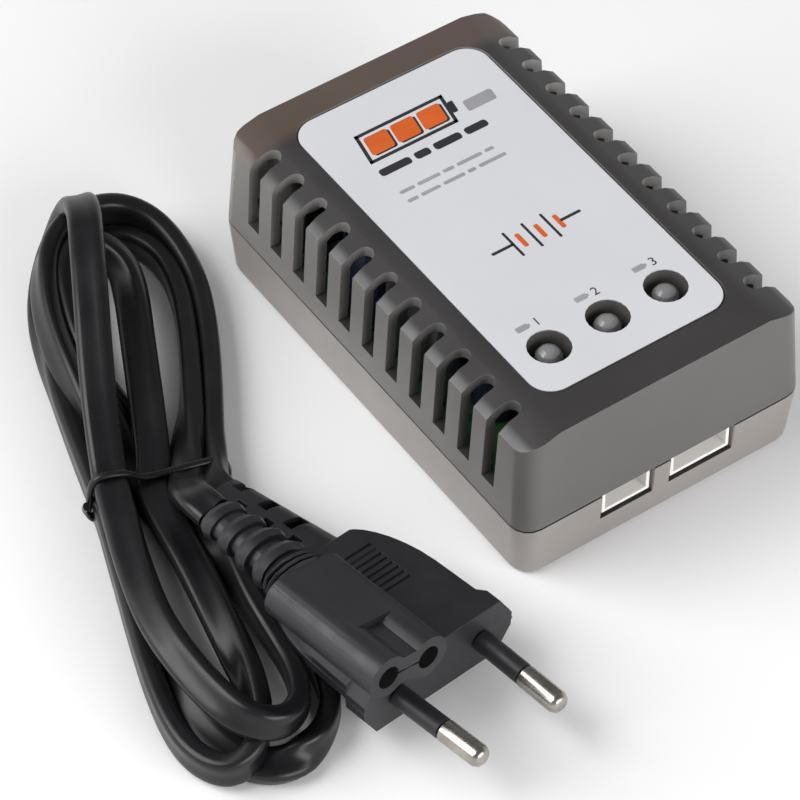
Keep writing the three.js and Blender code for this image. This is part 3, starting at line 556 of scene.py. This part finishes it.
def print_shape(name, outlines, material, level=1):
    """Flat ink: each closed outline, in millimetres on the label, is a thin raised plate."""
    work = bmesh.new()
    for outline in outlines:
        low = [work.verts.new((x * MM, y * MM, LABEL_TOP)) for x, y in outline]
        high = [work.verts.new((x * MM, y * MM, LABEL_TOP + INK * level)) for x, y in outline]
        work.faces.new(high)
        work.faces.new(reversed(low))
        for i in range(len(outline)):
            after = (i + 1) % len(outline)
            work.faces.new((low[i], low[after], high[after], high[i]))
    mesh = bpy.data.meshes.new(name)
    work.to_mesh(mesh)
    work.free()
    return link(name, mesh, "charger", "label_film", material)


def print_number(name, text, x, y, size):
    """A generic numeral beside a lamp."""
    curve = bpy.data.curves.new(name, "FONT")
    curve.body = text
    curve.size = size * MM
    curve.extrude = INK / 2
    curve.align_x = "CENTER"
    holder = bpy.data.objects.new(name, curve)
    bpy.context.scene.collection.objects.link(holder)
    flat = holder.evaluated_get(bpy.context.evaluated_depsgraph_get())
    mesh = bpy.data.meshes.new_from_object(flat)
    bpy.data.objects.remove(holder)
    mesh.transform(Matrix.Translation((x * MM, y * MM, LABEL_TOP + INK / 2)))
    return link(name, mesh, "charger", "label_film", INK_DARK)


def bar(x0, x1, y0, y1, radius=0.0, lean=0.0):
    """A rounded bar, counterclockwise, which leans over by so much of its height."""
    radius = max(0.01, min(radius, (x1 - x0) / 2.01, (y1 - y0) / 2.01))
    points = []
    for corner, (cx, cy) in enumerate([(x1 - radius, y1 - radius), (x0 + radius, y1 - radius),
                                       (x0 + radius, y0 + radius), (x1 - radius, y0 + radius)]):
        for step in range(4):
            angle = math.pi / 2 * (corner + step / 3)
            y = cy + radius * math.sin(angle)
            points.append((cx + radius * math.cos(angle) + (y - y0) * lean, y))
    return points


def dashes(y, height, lengths, start, gap=0.7):
    """A line of small rounded dashes where such a label has its small print."""
    out = []
    for length in lengths:
        out.append(bar(start, start + length, y, y + height, height * 0.35))
        start += length + gap
    return out


def print_gauge():
    """The bold mark: a battery gauge with three full cells, leaning forward."""
    lean, left, low, high = 0.18, -12.4, 23.2, 30.4
    cell, step = 4.7, 5.5
    case = [
        bar(left, left + GAUGE_LENGTH, low, low + GAUGE_LINE, 0, lean),
        bar(left + 1.15, left + 19.55, high - GAUGE_LINE, high, 0, lean),
        bar(left, left + GAUGE_LINE, low, high, 0.2, lean),
        bar(left + GAUGE_LENGTH - GAUGE_LINE, left + GAUGE_LENGTH, low, high, 0.2, lean),
        bar(left + GAUGE_LENGTH + 0.4, left + 19.9, low + 2.2, high - 2.2, 0.3, lean),
    ]
    shadows, cells = [], []
    for i in range(3):
        x = left + 1.5 + step * i
        shadows.append(bar(x + 0.35, x + cell + 0.35, low + 1.15, high - 1.65, 0.5, lean))
        cells.append(bar(x, x + cell, low + 1.5, high - 1.3, 0.5, lean))
    print_shape("print_gauge_case", case, INK_DARK)
    print_shape("print_gauge_shadow", shadows, INK_DARK)
    print_shape("print_gauge_cells", cells, INK_ORANGE, 2)


def print_cells_symbol():
    """The drawing sign for three cells in a row, with its two leads."""
    x, y = 1.2, -5.9
    dark = [bar(x - 9.0, x - 4.6, y - 0.3, y + 0.3, 0.2), bar(x + 5.2, x + 9.4, y - 0.3, y + 0.3, 0.2)]
    bold = []
    for i in range(3):
        place = x - 4.6 + 3.9 * i
        dark.append(bar(place - 0.25, place + 0.25, y - 3.2, y + 3.2, 0.2))
        bold.append(bar(place + 1.3, place + 2.2, y - 1.7, y + 1.7, 0.3))
    print_shape("print_symbol_lines", dark, INK_DARK)
    print_shape("print_symbol_plates", bold, INK_ORANGE)


def print_label():
    print_gauge()
    print_shape("print_tag", [bar(8.9, 14.9, 24.2, 26.9, 0.5, 0.12)], INK_GREY)
    print_shape("print_line_1", dashes(19.6, 1.7, (6.4, 3.1, 5.6, 4.6), -12.4, 0.9), INK_DARK)
    print_shape("print_line_2", dashes(14.4, 0.75, (3.0, 4.6, 2.2, 5.1, 1.8), -12.2), INK_GREY)
    print_shape("print_line_3", dashes(12.0, 0.75, (2.1, 3.9, 4.4, 1.6, 5.6), -12.2), INK_GREY)
    print_cells_symbol()
    for i in range(3):
        x = (i - 1) * LAMP_SPACING
        print_number("print_number_%d" % (i + 1), str(i + 1), x + 1.5, -23.2, 2.6)
        print_shape("print_cell_%d" % (i + 1), [bar(x - 2.6, x - 0.2, -22.9, -21.7, 0.25),
                                                bar(x - 0.2, x + 0.15, -22.6, -22.0, 0.1)], INK_GREY)


print_label()


# ---------------------------------------------------------------- floor and light

FLOOR_HALF = 4.0
FLOOR_DROP = 0.0001


def make_stage():
    mesh = bpy.data.meshes.new("floor")
    size = FLOOR_HALF
    corners = [(-size, -size, 0), (size, -size, 0), (size, size, 0), (-size, size, 0)]
    mesh.from_pydata(corners, [], [(0, 1, 2, 3)])
    floor = bpy.data.objects.new("floor", mesh)
    bpy.context.scene.collection.objects.link(floor)
    floor.location.z = -FLOOR_DROP
    graph = Graph("floor", (0.9, 0.9, 0.9), 0.6)
    graph.color(graph.ramp(graph.noise(3), (0.9, 0.9, 0.9), (0.93, 0.93, 0.93)))
    mesh.materials.append(graph.material)


def area_light(name, place, target, size, power):
    data = bpy.data.lights.new(name, "AREA")
    data.shape = "RECTANGLE"
    data.size, data.size_y = size
    data.energy = power
    light = bpy.data.objects.new(name, data)
    light.location = place
    light.rotation_euler = (Vector(target) - Vector(place)).to_track_quat("-Z", "Y").to_euler()
    bpy.context.scene.collection.objects.link(light)


def make_world():
    """A white backdrop all round, with a darker ceiling above it."""
    world = bpy.data.worlds.new("studio")
    world.use_nodes = True
    nodes, links = world.node_tree.nodes, world.node_tree.links
    place = nodes.new("ShaderNodeTexCoord")
    split = nodes.new("ShaderNodeSeparateXYZ")
    fade = nodes.new("ShaderNodeValToRGB")
    fade.color_ramp.elements[0].position = 0.12
    fade.color_ramp.elements[0].color = (1, 1, 1, 1)
    fade.color_ramp.elements[1].position = 0.5
    fade.color_ramp.elements[1].color = (0.24, 0.24, 0.25, 1)
    links.new(place.outputs["Generated"], split.inputs["Vector"])
    links.new(split.outputs["Z"], fade.inputs["Fac"])
    links.new(fade.outputs["Color"], nodes["Background"].inputs["Color"])
    nodes["Background"].inputs["Strength"].default_value = 0.9
    bpy.context.scene.world = world


def make_light():
    make_world()
    area_light("key", (-0.75, 0.4, 0.75), (-0.02, 0, 0.01), (0.9, 0.9), 13)
    area_light("fill", (0.1, -0.9, 0.42), (-0.02, 0, 0.01), (0.9, 0.5), 7)
    bpy.context.scene.view_settings.view_transform = "Standard"


make_stage()
make_light()
